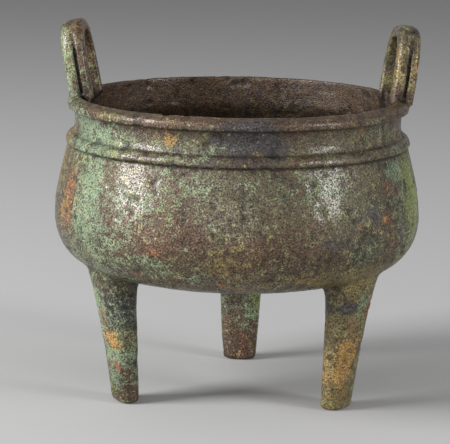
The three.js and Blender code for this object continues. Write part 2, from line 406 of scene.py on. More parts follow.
@dataclass(frozen=True)
class Leg:
    """A solid leg of rounded oval section that tapers to its foot and flares into the bowl."""

    turn: float
    width: float
    depth: float
    bowl: Bowl
    # How the shaft widens and slopes from the foot to the underside
    spread: float = 9.4
    inset: float = 43.0
    inner_slope: float = 3.2
    outer_slope: float = 11.2
    outer_bow: float = 1.0
    # Roundness of the section and of the foot, and the flare where the leg meets the bowl
    squareness: float = 2.5
    foot_round: float = 2.8
    root_flare: float = 2.0
    outer_flare: float = 0.6
    root_reach: float = 4.2
    # The upright cylinder outside which the leg need not be worked out
    near_shift: float = 5.0
    near_radius: float = 34.0

    # Keeps the oval's powers away from zero on the leg's own axis
    TINY = 1e-4

    def distance(self, points: np.ndarray, below_bowl: np.ndarray) -> np.ndarray:
        """Signed distance to the leg.

        Args:
            points: Places in millimetres.
            below_bowl: Distance of each place from the bowl's outside, positive outside.

        Returns:
            Distances, negative inside the leg.
        """
        outward = np.array(turn_to_point(self.turn, 1.0))
        radial = points[:, 0] * outward[0] + points[:, 1] * outward[1]
        across = -points[:, 0] * outward[1] + points[:, 1] * outward[0]
        height = points[:, 2]
        share = np.maximum(height, 0) / self.bowl.underside_height
        start = self.bowl.belly_radius - self.inset
        inner = start + self.inner_slope * share
        bow = self.outer_bow * 4 * share * (share - 1)
        outer = start + self.depth + self.outer_slope * share + bow
        half_width = (self.width + self.spread * share) / 2
        half_depth = (outer - inner) / 2
        along = radial - (inner + outer) / 2
        fade = np.exp(-np.maximum(below_bowl, 0) / self.root_reach)
        facing = np.clip(along / half_depth, 0, 1)
        flare = (self.root_flare + (self.outer_flare - self.root_flare) * facing) * fade
        half_depth, half_width = half_depth + flare, half_width + flare
        power = self.squareness
        u = np.abs(along) / half_depth + self.TINY
        v = np.abs(across) / half_width + self.TINY
        size = (u ** power + v ** power) ** (1 / power)
        steep = np.hypot((u / size) ** (power - 1) / half_depth, (v / size) ** (power - 1) / half_width)
        side = (size - 1) / steep
        rounding = self.foot_round
        a, b = side + rounding, rounding - height
        foot = np.minimum(np.maximum(a, b), 0) + np.hypot(np.maximum(a, 0), np.maximum(b, 0))
        top = self.bowl.underside_height + self.bowl.underside_rise + self.bowl.wall * 2
        return np.maximum(foot - rounding, height - top)

    def near(self, points: np.ndarray) -> np.ndarray:
        """Which places are close enough for the leg to matter.

        Args:
            points: Places in millimetres.

        Returns:
            True for each place that is near.
        """
        middle = self.bowl.belly_radius - self.inset + self.depth / 2 + self.near_shift
        x, y = turn_to_point(self.turn, middle)
        low = points[:, 2] < self.bowl.belly_height
        return low & (np.hypot(points[:, 0] - x, points[:, 1] - y) < self.near_radius)


@dataclass(frozen=True)
class Ear:
    """An upright loop ear that leans outward, parted into two strands by a groove."""

    turn: float
    lean: float
    height: float
    inset: float
    groove: float
    bowl: Bowl
    # The loop and its limbs
    width: float = 43.0
    thickness: float = 14.4
    limb: float = 8.6
    squareness: float = 3.0
    loop_edge: float = 1.2
    root_drop: float = 13.0
    # The groove and the strands beside it
    groove_width: float = 1.3
    groove_depth: float = 2.6
    groove_edge: float = 0.8
    groove_fade: float = 14.0
    fade_start: float = 0.3
    strand_round: float = 5.0
    # How far round the ear the form has to be worked out, and how finely it is sampled
    near_drop: float = 8.0
    near_share: float = 0.8
    line_sample: float = 0.3
    strand_sample: float = 0.15
    strand_margin: float = 8.0
    room_sample: float = 0.5
    arch_steps: int = 120
    strand_steps: int = 10

    def line(self) -> Section:
        """The line that the limbs follow, as the outline of what it goes round.

        Returns:
            The sampled outline, x along the rim and y up the ear.
        """
        half_span = (self.width - self.limb) / 2
        rise = self.height - self.limb / 2
        power = 2 / self.squareness
        angles = np.linspace(0, math.pi, self.arch_steps)
        arch = [(half_span * math.copysign(abs(math.cos(a)) ** power, math.cos(a)),
                 rise * math.sin(a) ** power) for a in angles]
        deep = -self.root_drop * 2
        return Section([(half_span, deep), *arch, (-half_span, deep)], self.line_sample)

    def strands(self, depth: float) -> Section:
        """A limb's section, x from the inward to the outward face, y away from the loop.

        Args:
            depth: Depth of the groove between the strands.

        Returns:
            The sampled section.
        """
        half, out = self.thickness / 2, self.limb / 2
        groove = self.thickness * self.groove - half
        edge = self.groove_width / 2 + self.groove_edge
        side = out - self.strand_round
        inward = smooth_curve([(-half, side), (-half, out), (groove - edge, out)], self.strand_steps)
        outward = smooth_curve([(groove + edge, out), (half, out), (half, side)], self.strand_steps)
        bevel = min(self.groove_edge, depth)
        cut = [(groove - self.groove_width / 2, out - bevel), (groove, out - depth),
               (groove + self.groove_width / 2, out - bevel)]
        soft = self.loop_edge
        return Section([*inward, *cut, *outward, (half, soft - out), (half - soft, -out),
                        (soft - half, -out), (-half, soft - out)], self.strand_sample,
                       margin=self.strand_margin)

    def room(self) -> Section:
        """The space that the ear may fill: above the rim, and below it a root inside the neck.

        Returns:
            The section that turns round the bowl's axis.
        """
        bowl = self.bowl
        far, sky = bowl.lip_radius + self.thickness * 2, bowl.rim_height + self.height * 2
        root = bowl.neck_radius - bowl.wall / 2
        near = bowl.mouth_radius - self.inset
        low = bowl.rim_height - self.root_drop + bowl.wall
        return Section([(near - self.thickness, bowl.rim_height),
                        (near, bowl.rim_height - bowl.land_width / 2),
                        (root - bowl.wall / 2, low), (root, low),
                        (root, bowl.rim_height - bowl.lip_depth / 2),
                        (far, bowl.rim_height - bowl.lip_depth / 2),
                        (far, sky), (near - self.thickness, sky)], self.room_sample)

    def upright(self, points: np.ndarray) -> np.ndarray:
        """Places turned into the ear's own frame.

        Args:
            points: Places in millimetres.

        Returns:
            Places with x outward, y along the rim and z up the ear, from its foot.
        """
        out = np.array(turn_to_point(self.turn, 1.0))
        radial = points[:, 0] * out[0] + points[:, 1] * out[1]
        radial = radial - (self.bowl.mouth_radius - self.inset + self.thickness / 2)
        along = -points[:, 0] * out[1] + points[:, 1] * out[0]
        up = points[:, 2] - self.bowl.rim_height
        cos, sin = math.cos(math.radians(self.lean)), math.sin(math.radians(self.lean))
        return np.stack([radial * cos - up * sin, along, radial * sin + up * cos], 1)

    def near(self, points: np.ndarray) -> np.ndarray:
        """Which places are close enough for the ear to matter.

        Args:
            points: Places in millimetres.

        Returns:
            True for each place that is near.
        """
        x, y = turn_to_point(self.turn, self.bowl.mouth_radius)
        high = points[:, 2] > self.bowl.rim_height - self.root_drop - self.near_drop
        reach = self.width * self.near_share
        return high & (np.hypot(points[:, 0] - x, points[:, 1] - y) < reach)

    def parting(self, up: np.ndarray) -> np.ndarray:
        """How deep the groove is cut at each height, fading out over the arch.

        Args:
            up: Heights up the ear, from its foot.

        Returns:
            Shares of the full depth, from 0 to 1.
        """
        return np.clip((self.height - up) / self.groove_fade - self.fade_start, 0, 1)


class Casting:
    """The whole vessel as one form: bowl, three legs and two ears."""

    LEG_FILLET = 1.6
    MOUTH_FILLET = 1.2
    EAR_FILLET = 2.4
    INSIDE_SOFTNESS = 1.2
    RIM_SOFTNESS = 1.5

    def __init__(self, bowl: Bowl, legs: list[Leg], ears: list[Ear]) -> None:
        """Samples the sections that the form is made of.

        Args:
            bowl: The turned bowl.
            legs: The legs under it.
            ears: The ears on its rim.
        """
        self.bowl, self.legs, self.ears = bowl, legs, ears
        self.outside, self.hollow = bowl.outside(), bowl.hollow()
        self.ear_fields = [
            (ear.line(), ear.strands(ear.groove_depth), ear.strands(0.0), ear.room())
            for ear in ears
        ]

    def distance(self, points: np.ndarray) -> np.ndarray:
        """Signed distance to the casting's surface.

        Args:
            points: Places in millimetres, one row each.

        Returns:
            Distances, negative in the bronze.
        """
        radius = np.hypot(points[:, 0], points[:, 1])
        whole = self.outside.distance(radius, points[:, 2])
        for leg in self.legs:
            near = np.flatnonzero(leg.near(points))
            if len(near):
                shaft = leg.distance(points[near], whole[near])
                whole[near] = smooth_union(whole[near], shaft, self.LEG_FILLET)
        cavity = self.hollow.distance(radius, points[:, 2])
        whole = -smooth_union(-whole, cavity, self.MOUTH_FILLET)
        for ear, (line, parted, plain, room) in zip(self.ears, self.ear_fields):
            near = np.flatnonzero(ear.near(points))
            if len(near):
                own = ear.upright(points[near])
                beside = line.distance(own[:, 1], own[:, 2])
                parting = ear.parting(own[:, 2])
                loop = parted.distance(own[:, 0], beside) * parting
                loop += plain.distance(own[:, 0], beside) * (1 - parting)
                loop = np.maximum(loop, room.distance(radius[near], points[near, 2]))
                whole[near] = smooth_union(whole[near], loop, self.EAR_FILLET)
        return whole

    def sheltered(self, points: np.ndarray) -> np.ndarray:
        """How far each place belongs to the inside of the bowl.

        Args:
            points: Places on the surface, in millimetres.

        Returns:
            Shares from 0 outside to 1 inside.
        """
        radius = np.hypot(points[:, 0], points[:, 1])
        within = 1 - self.hollow.distance(radius, points[:, 2]) / self.INSIDE_SOFTNESS
        below_rim = (self.bowl.rim_height - points[:, 2]) / self.RIM_SOFTNESS
        return np.clip(within, 0, 1) * np.clip(below_rim, 0, 1)

    def normals(self, points: np.ndarray, reach: float = 0.35) -> np.ndarray:
        """Outward directions at places near the surface.

        Args:
            points: Places in millimetres.
            reach: Half of the span over which the slope is measured.

        Returns:
            Unit directions, one row each.
        """
        slope = np.empty_like(points)
        for axis in range(3):
            step = np.zeros(3)
            step[axis] = reach
            slope[:, axis] = self.distance(points + step) - self.distance(points - step)
        return slope / np.maximum(np.linalg.norm(slope, axis=1), 1e-9)[:, None]


@dataclass(frozen=True)
class Relief:
    """The rough skin of a buried bronze: slow waves, thin crusts and pits, all cut inward."""

    skin: float = 0.03
    wave: float = 0.3
    crust: float = 0.16
    crust_contrast: float = 5.0
    pit: float = 0.45
    pit_start: float = 0.55
    pit_span: float = 0.4
    pit_curve: float = 0.7
    grain: float = 0.1
    wave_noise: Noise = Noise(3, 46, 2)
    crust_noise: Noise = Noise(7, 11, 3)
    pit_noise: Noise = Noise(11, 5.5, 2)
    grain_noise: Noise = Noise(13, 2.4, 2)

    def depth(self, points: np.ndarray) -> np.ndarray:
        """How far the skin lies inside the sound surface.

        Args:
            points: Places on the surface, in millimetres.

        Returns:
            Depths in millimetres, never negative.
        """
        wave = self.skin + self.wave * np.clip(0.5 - self.wave_noise.at(points) / 2, 0, 1)
        patches = self.crust_noise.at(points)
        crust = self.crust * (1 - np.clip(patches * self.crust_contrast + 0.5, 0, 1))
        pits = np.clip(self.pit_noise.at(points) - self.pit_start, 0, self.pit_span) / self.pit_span
        grain = self.grain * (1 - self.grain_noise.at(points)) / 2
        return wave + crust + self.pit * pits ** self.pit_curve + np.clip(grain, 0, None)


class Lattice:
    """A box lattice, finer where the ears, the lip and the raised line are."""

    MARGIN = 3.0
    EAR_ROOM = 12.0
    BEHIND_EARS = 0.4
    SLAB = 8
    CORNERS = tuple((i, j, k) for i in (0, 1) for j in (0, 1) for k in (0, 1))
    # The four cells round a lattice edge, in order
    RING = ((-1, -1), (0, -1), (0, 0), (-1, 0))

    def __init__(self, casting: Casting, coarse: float, fine: float) -> None:
        """Places the lattice lines.

        Args:
            casting: The form to be meshed.
            coarse: Spacing in the plain parts.
            fine: Spacing where the detail is.
        """
        self.casting = casting
        bowl = casting.bowl
        edge = bowl.belly_radius + self.MARGIN
        ear = bowl.mouth_radius - self.EAR_ROOM
        reach = max(ear.width for ear in casting.ears)
        sky = bowl.rim_height + max(ear.height for ear in casting.ears) + self.MARGIN
        detail = bowl.rim_height - bowl.shoulder_depth
        self.lines = [
            self._line([-edge, -ear, ear, edge], [fine, coarse, fine]),
            self._line([-edge, -reach * self.BEHIND_EARS, reach, edge], [coarse, fine, coarse]),
            self._line([-self.MARGIN, detail, sky], [coarse, fine]),
        ]

    @staticmethod
    def _line(ends: list[float], steps: list[float]) -> np.ndarray:
        """Lattice places along one axis, each stretch with a step of its own.

        Args:
            ends: Where the stretches begin and end.
            steps: Spacing in each stretch.

        Returns:
            The places, in order.
        """
        parts = [np.linspace(a, b, max(2, round((b - a) / step) + 1))[:-1]
                 for a, b, step in zip(ends, ends[1:], steps)]
        return np.concatenate([*parts, [ends[-1]]])

    def sample(self) -> np.ndarray:
        """The distance at every lattice point.

        Returns:
            Distances by x, y and z number.
        """
        x, y, z = self.lines
        values = np.empty((len(x), len(y), len(z)), np.float32)
        flat_y, flat_z = (a.ravel() for a in np.meshgrid(y, z, indexing="ij"))
        for i in range(0, len(x), self.SLAB):
            slab = x[i:i + self.SLAB]
            points = np.stack([np.repeat(slab, len(flat_y)), np.tile(flat_y, len(slab)),
                               np.tile(flat_z, len(slab))], 1)
            distances = self.casting.distance(points)
            values[i:i + self.SLAB] = distances.reshape(len(slab), len(y), len(z))
        return values

    def _crossed_cells(self, inside: np.ndarray) -> np.ndarray:
        """The cells that the surface passes through.

        Args:
            inside: Which lattice points lie in the form.

        Returns:
            The lowest corner of each such cell, one row each.
        """
        cells = tuple(n - 1 for n in inside.shape)
        count = np.zeros(cells, np.uint8)
        for corner in self.CORNERS:
            count += inside[tuple(slice(c, c + n) for c, n in zip(corner, cells))]
        crossed = (count > 0) & (count < len(self.CORNERS))
        return np.stack(np.nonzero(crossed), 1)

    def _points(self, values: np.ndarray, where: np.ndarray) -> np.ndarray:
        """One point for each crossed cell, the mean of where the surface cuts its edges.

        Args:
            values: The distance at every lattice point.
            where: The lowest corners of the crossed cells.

        Returns:
            The points in millimetres, one row each.
        """
        total = np.zeros((len(where), 3))
        hits = np.zeros(len(where))
        for a in self.CORNERS:
            for axis in (n for n in range(3) if not a[n]):
                b = tuple(1 if n == axis else a[n] for n in range(3))
                at_a = values[tuple((where + a).T)]
                at_b = values[tuple((where + b).T)]
                cross = (at_a < 0) != (at_b < 0)
                share = np.where(cross, at_a / np.where(cross, at_a - at_b, 1), 0)
                spot = np.stack([self.lines[n][where[:, n] + a[n]] for n in range(3)], 1)
                far = self.lines[axis][where[:, axis] + 1] - spot[:, axis]
                spot[:, axis] += share * far
                total += spot * cross[:, None]
                hits += cross
        return total / hits[:, None]

    def _faces(self, inside: np.ndarray, index: np.ndarray, axis: int) -> np.ndarray:
        """The faces across the lattice edges that run along one axis.

        Args:
            inside: Which lattice points lie in the form.
            index: The number of each crossed cell's point.
            axis: The axis that the edges run along.

        Returns:
            The point numbers of each face, turned to face outward.
        """
        u, v = (axis + 1) % 3, (axis + 2) % 3
        low = [slice(1, n) for n in index.shape]
        low[axis] = slice(0, index.shape[axis])
        high = list(low)
        high[axis] = slice(1, index.shape[axis] + 1)
        here, there = inside[tuple(low)], inside[tuple(high)]
        edges = np.stack(np.nonzero(here != there), 1)
        flip = here[tuple(edges.T)]
        start = edges + 1
        start[:, axis] -= 1
        ring = []
        for across, up in self.RING:
            cell = start.copy()
            cell[:, u] += across
            cell[:, v] += up
            ring.append(index[tuple(cell.T)])
        ring = np.stack(ring, 1)
        ring[~flip] = ring[~flip][:, ::-1]
        return ring

    def surface(self) -> tuple[np.ndarray, np.ndarray]:
        """Meshes the form with one point in each lattice cell that the surface crosses.

        Returns:
            The points in millimetres and the four-sided faces between them.
        """
        values = self.sample()
        inside = values < 0
        where = self._crossed_cells(inside)
        index = np.full([n - 1 for n in inside.shape], -1, np.int32)
        index[tuple(where.T)] = np.arange(len(where))
        faces = [self._faces(inside, index, axis) for axis in range(3)]
        return self._points(values, where), np.concatenate(faces)

    def settled(self, points: np.ndarray, rounds: int = 2) -> np.ndarray:
        """Points moved onto the exact surface.

        Args:
            points: Places near the surface, in millimetres.
            rounds: How many times they are moved.

        Returns:
            The moved points.
        """
        for _ in range(rounds):
            gap = np.clip(self.casting.distance(points), -1, 1)
            points = points - gap[:, None] * self.casting.normals(points)
        return points


@dataclass(frozen=True)
class Stain:
    """A cloud of one tint at a place on the vessel, at any radius unless one is given."""

    tint: Tint
    turn: float
    height: float
    wide: float
    tall: float
    strength: float
    radius: float = 0.0
    deep: float = 12.0


@dataclass(frozen=True)
class Patina:
    """Where the corrosion colours lie: broad clouds all round, with ragged, noisy edges."""

    stains: tuple[Stain, ...]
    outside: tuple[tuple[Tint, float], ...]
    inside: tuple[tuple[Tint, float], ...]
    drift: float = 0.22
    cloud: float = 30.0
    swirl: float = 5.0
    swirl_cloud: float = 0.6
    inside_drift: float = 0.6
    inside_cloud: float = 1.5
    absent: float = -0.4
    most: float = 1.2
    edge_power: float = 1.5
    edge_fall: float = 0.6

    SWIRL_SEED = 20
    OUTSIDE_SEED = 30
    INSIDE_SEED = 50

    def weights(self, points: np.ndarray, sheltered: np.ndarray) -> dict[str, np.ndarray]:
        """How strongly each tint lies at each place.

        Args:
            points: Places on the surface, in millimetres.
            sheltered: How far each place belongs to the inside of the bowl, from 0 to 1.

        Returns:
            One array of weights for each tint's name.
        """
        swirls = [Noise(self.SWIRL_SEED + axis, self.cloud * self.swirl_cloud, 3).at(points)
                  for axis in range(3)]
        moved = points + np.stack(swirls, 1) * self.swirl
        turns = np.degrees(np.arctan2(moved[:, 0], -moved[:, 1]))
        radius = np.hypot(points[:, 0], points[:, 1])
        outside, inside = dict(self.outside), dict(self.inside)
        open_air = {}
        for number, tint in enumerate(Tint):
            clouds = Noise(self.OUTSIDE_SEED + number, self.cloud, 4).at(points)
            open_air[tint] = outside.get(tint, 0.0) + clouds * self.drift
        for stain in self.stains:
            turned = (turns - stain.turn + 180) % 360 - 180
            across = np.radians(turned) * radius / (stain.wide / 2)
            up = (moved[:, 2] - stain.height) / (stain.tall / 2)
            depth = (radius - stain.radius) / (stain.deep / 2) if stain.radius else 0
            away_squared = across ** 2 + up ** 2 + depth ** 2
            fall = np.exp(-away_squared ** self.edge_power * self.edge_fall)
            open_air[stain.tint] += stain.strength * fall
        result = {}
        for number, tint in enumerate(Tint):
            clouds = Noise(self.INSIDE_SEED + number, self.cloud * self.inside_cloud, 4).at(points)
            covered = inside.get(tint, self.absent) + clouds * self.drift * self.inside_drift
            mixed = open_air[tint] * (1 - sheltered) + covered * sheltered
            result[tint.value] = np.clip(mixed, self.absent, self.most)
        return result


class ScreenCurve:
    """The usual curve between a screen's values and linear light."""

    KNEE = 0.04045
    SLOPE = 12.92
    OFFSET = 0.055
    POWER = 2.4

    @classmethod
    def linear(cls, value: float) -> float:
        """A screen value from 0 to 1 as linear light."""
        if value <= cls.KNEE:
            return value / cls.SLOPE
        return ((value + cls.OFFSET) / (1 + cls.OFFSET)) ** cls.POWER


def colour(code: str) -> tuple[float, float, float, float]:
    """A screen colour as linear light.

    Args:
        code: Red, green and blue in hexadecimal, such as "8a9a7c".

    Returns:
        Linear red, green and blue, and full opacity.
    """
    parts = [int(code[i:i + 2], 16) / 255 for i in (0, 2, 4)]
    return (*(ScreenCurve.linear(part) for part in parts), 1.0)


class Wiring:
    """Adds and joins the nodes of one node tree."""

    # Numbers of the Mix node's colour sockets, which share their names with other sockets
    MIX_SHARE = 0
    MIX_FIRST = 6
    MIX_SECOND = 7
    MIX_RESULT = 2

    def __init__(self, tree: bpy.types.NodeTree) -> None:
        """Keeps the tree that nodes are added to."""
        self.tree = tree

    def add(self, kind: str, inputs: dict[str | int, Input] | None = None,
            **settings: object) -> bpy.types.Node:
        """Adds a node.

        Args:
            kind: The node's type name, without the leading ShaderNode.
            inputs: Values or sockets for its inputs, by name or number.
            **settings: The node's own properties.

        Returns:
            The new node.
        """
        node = self.tree.nodes.new("ShaderNode" + kind)
        for name, value in settings.items():
            setattr(node, name, value)
        self.feed(node, inputs or {})
        return node

    def feed(self, node: bpy.types.Node, inputs: dict[str | int, Input]) -> None:
        """Links or sets the inputs of a node.

        Args:
            node: The node that is fed.
            inputs: Values or sockets for its inputs, by name or number.
        """
        for name, value in inputs.items():
            if isinstance(value, bpy.types.NodeSocket):
                self.tree.links.new(value, node.inputs[name])
            else:
                node.inputs[name].default_value = value

    def group(self, tree: bpy.types.NodeTree, inputs: dict[str, Input]) -> bpy.types.Node:
        """Adds a node group.

        Args:
            tree: The group's own tree.
            inputs: Values or sockets for its inputs, by name.

        Returns:
            The new node.
        """
        node = self.add("Group", node_tree=tree)
        self.feed(node, inputs)
        return node

    def math(self, operation: str, a: Input, b: Input = 0.0, clamp: bool = False) -> Socket:
        """Adds a Math node.

        Args:
            operation: What it works out.
            a: Its first value or socket.
            b: Its second value or socket.
            clamp: Whether the result is held between 0 and 1.

        Returns:
            The socket with the result.
        """
        return self.add("Math", {0: a, 1: b}, operation=operation, use_clamp=clamp).outputs[0]

    def times(self, a: Input, b: Input) -> Socket:
        """The product of two values or sockets."""
        return self.math("MULTIPLY", a, b)

    def plus(self, a: Input, b: Input) -> Socket:
        """The sum of two values or sockets."""
        return self.math("ADD", a, b)

    def mix(self, share: Input, a: Input, b: Input) -> Socket:
        """Adds a colour Mix node.

        Args:
            share: How far it goes from the first colour to the second, from 0 to 1.
            a: The first colour or socket.
            b: The second colour or socket.

        Returns:
            The socket with the mixed colour.
        """
        inputs = {self.MIX_SHARE: share, self.MIX_FIRST: a, self.MIX_SECOND: b}
        return self.add("Mix", inputs, data_type="RGBA").outputs[self.MIX_RESULT]

    def ramp(self, value: Input, low: Input, high: Input, start: float = 0.0,
             end: float = 1.0) -> Socket:
        """Stretches a value smoothly from one range to another and holds it at its ends.

        Args:
            value: The value's socket.
            low: Where the first range begins.
            high: Where the first range ends.
            start: Where the second range begins.
            end: Where the second range ends.

        Returns:
            The socket with the result.
        """
        names = {"Value": value, "From Min": low, "From Max": high, "To Min": start, "To Max": end}
        return self.add("MapRange", names, interpolation_type="SMOOTHSTEP").outputs[0]


def group_tree(name: str, inputs: dict[str, float], outputs: list[str]) -> Wiring:
    """Starts a shader node group.

    Args:
        name: The group's name.
        inputs: Names and default values of its inputs.
        outputs: Names of its outputs.

    Returns:
        Wiring on the group, which already holds its input and output nodes.
    """
    tree = bpy.data.node_groups.new(name, "ShaderNodeTree")
    for label, value in inputs.items():
        socket = tree.interface.new_socket(label, in_out="INPUT", socket_type="NodeSocketFloat")
        socket.default_value = value
    for label in outputs:
        tree.interface.new_socket(label, in_out="OUTPUT", socket_type="NodeSocketFloat")
    tree.nodes.new("NodeGroupInput")
    tree.nodes.new("NodeGroupOutput")
    return Wiring(tree)


@dataclass(frozen=True)
class Band:
    """One size of the speckle, in millimetres, and the range of its noise that is used."""

    name: str
    size: float
    detail: float
    low: float
    high: float


class Grain:
    """Speckle of three sizes and small pits, as a node group for every finish of the bronze."""

    BANDS = (
        Band("Fine", size=0.95, detail=2.0, low=0.34, high=0.66),
        Band("Middle", size=4.0, detail=4.0, low=0.33, high=0.67),
        Band("Broad", size=15.0, detail=4.0, low=0.32, high=0.68),
    )
    ROUGHNESS = 0.62
    PITS = "Pits"
    PIT_SIZE = 2.2
    PIT_FLOOR = 0.16
    PIT_EDGE = 0.34

    def __init__(self) -> None:
        """Builds the group once."""
        names = [band.name for band in self.BANDS]
        wiring = group_tree("speckle", {"Size": 1.0}, [*names, self.PITS])
        given = wiring.tree.nodes["Group Input"].outputs["Size"]
        result = wiring.tree.nodes["Group Output"]
        place = wiring.add("TexCoord").outputs["Object"]
        for band in self.BANDS:
            scale = wiring.math("DIVIDE", 1 / (band.size * MM), given)
            noise = wiring.add("TexNoise", {"Vector": place, "Scale": scale, "Detail": band.detail,
                                            "Roughness": self.ROUGHNESS})
            spread = wiring.add("MapRange", {"Value": noise.outputs["Fac"], "From Min": band.low,
                                             "From Max": band.high})
            wiring.feed(result, {band.name: spread.outputs[0]})
        scale = wiring.math("DIVIDE", 1 / (self.PIT_SIZE * MM), given)
        cells = wiring.add("TexVoronoi", {"Vector": place, "Scale": scale})
        pits = wiring.ramp(cells.outputs["Distance"], self.PIT_FLOOR, self.PIT_EDGE)
        wiring.feed(result, {self.PITS: pits})
        self.tree = wiring.tree

    def place(self, wiring: Wiring, size: float = 1.0) -> dict[str, Socket]:
        """Puts the group into a material.

        Args:
            wiring: The material's wiring.
            size: Size of the speckle against that of the bronze.

        Returns:
            The socket of each band and of the pits, by name.
        """
        return dict(wiring.group(self.tree, {"Size": size}).outputs.items())


class Patch:
    """Turns a painted weight into a patch with a ragged, speckled edge, as a node group."""

    MIDDLE = 0.5
    INPUTS = {"Weight": 0.0, "Fine": MIDDLE, "Middle": MIDDLE, "Speckle": 0.5, "Ragged": 0.5,
              "Softness": 0.12}

    def __init__(self) -> None:
        """Builds the group once."""
        wiring = group_tree("ragged patch", self.INPUTS, ["Mask"])
        given = wiring.tree.nodes["Group Input"].outputs
        fine = wiring.times(wiring.math("SUBTRACT", given["Fine"], self.MIDDLE), given["Speckle"])
        middle = wiring.times(wiring.math("SUBTRACT", given["Middle"], self.MIDDLE), given["Ragged"])
        level = wiring.plus(wiring.plus(given["Weight"], fine), middle)
        low = wiring.math("SUBTRACT", self.MIDDLE, given["Softness"])
        high = wiring.plus(self.MIDDLE, given["Softness"])
        wiring.feed(wiring.tree.nodes["Group Output"], {"Mask": wiring.ramp(level, low, high)})
        self.tree = wiring.tree

    def place(self, wiring: Wiring, inputs: dict[str, Input]) -> Socket:
        """Puts the group into a material.

        Args:
            wiring: The material's wiring.
            inputs: Values or sockets for the group's inputs.

        Returns:
            The socket with the mask.
        """
        return wiring.group(self.tree, inputs).outputs["Mask"]


@dataclass(frozen=True)
class Layer:
    """One corrosion colour over the bronze: its two shades and how ragged it lies.

    A layer with a negative raggedness keeps to the places that the others leave free.
    """

    tint: Tint
    dark: str
    light: str
    speckle: float
    ragged: float
    softness: float = 0.12
    crusty: float = 0.0


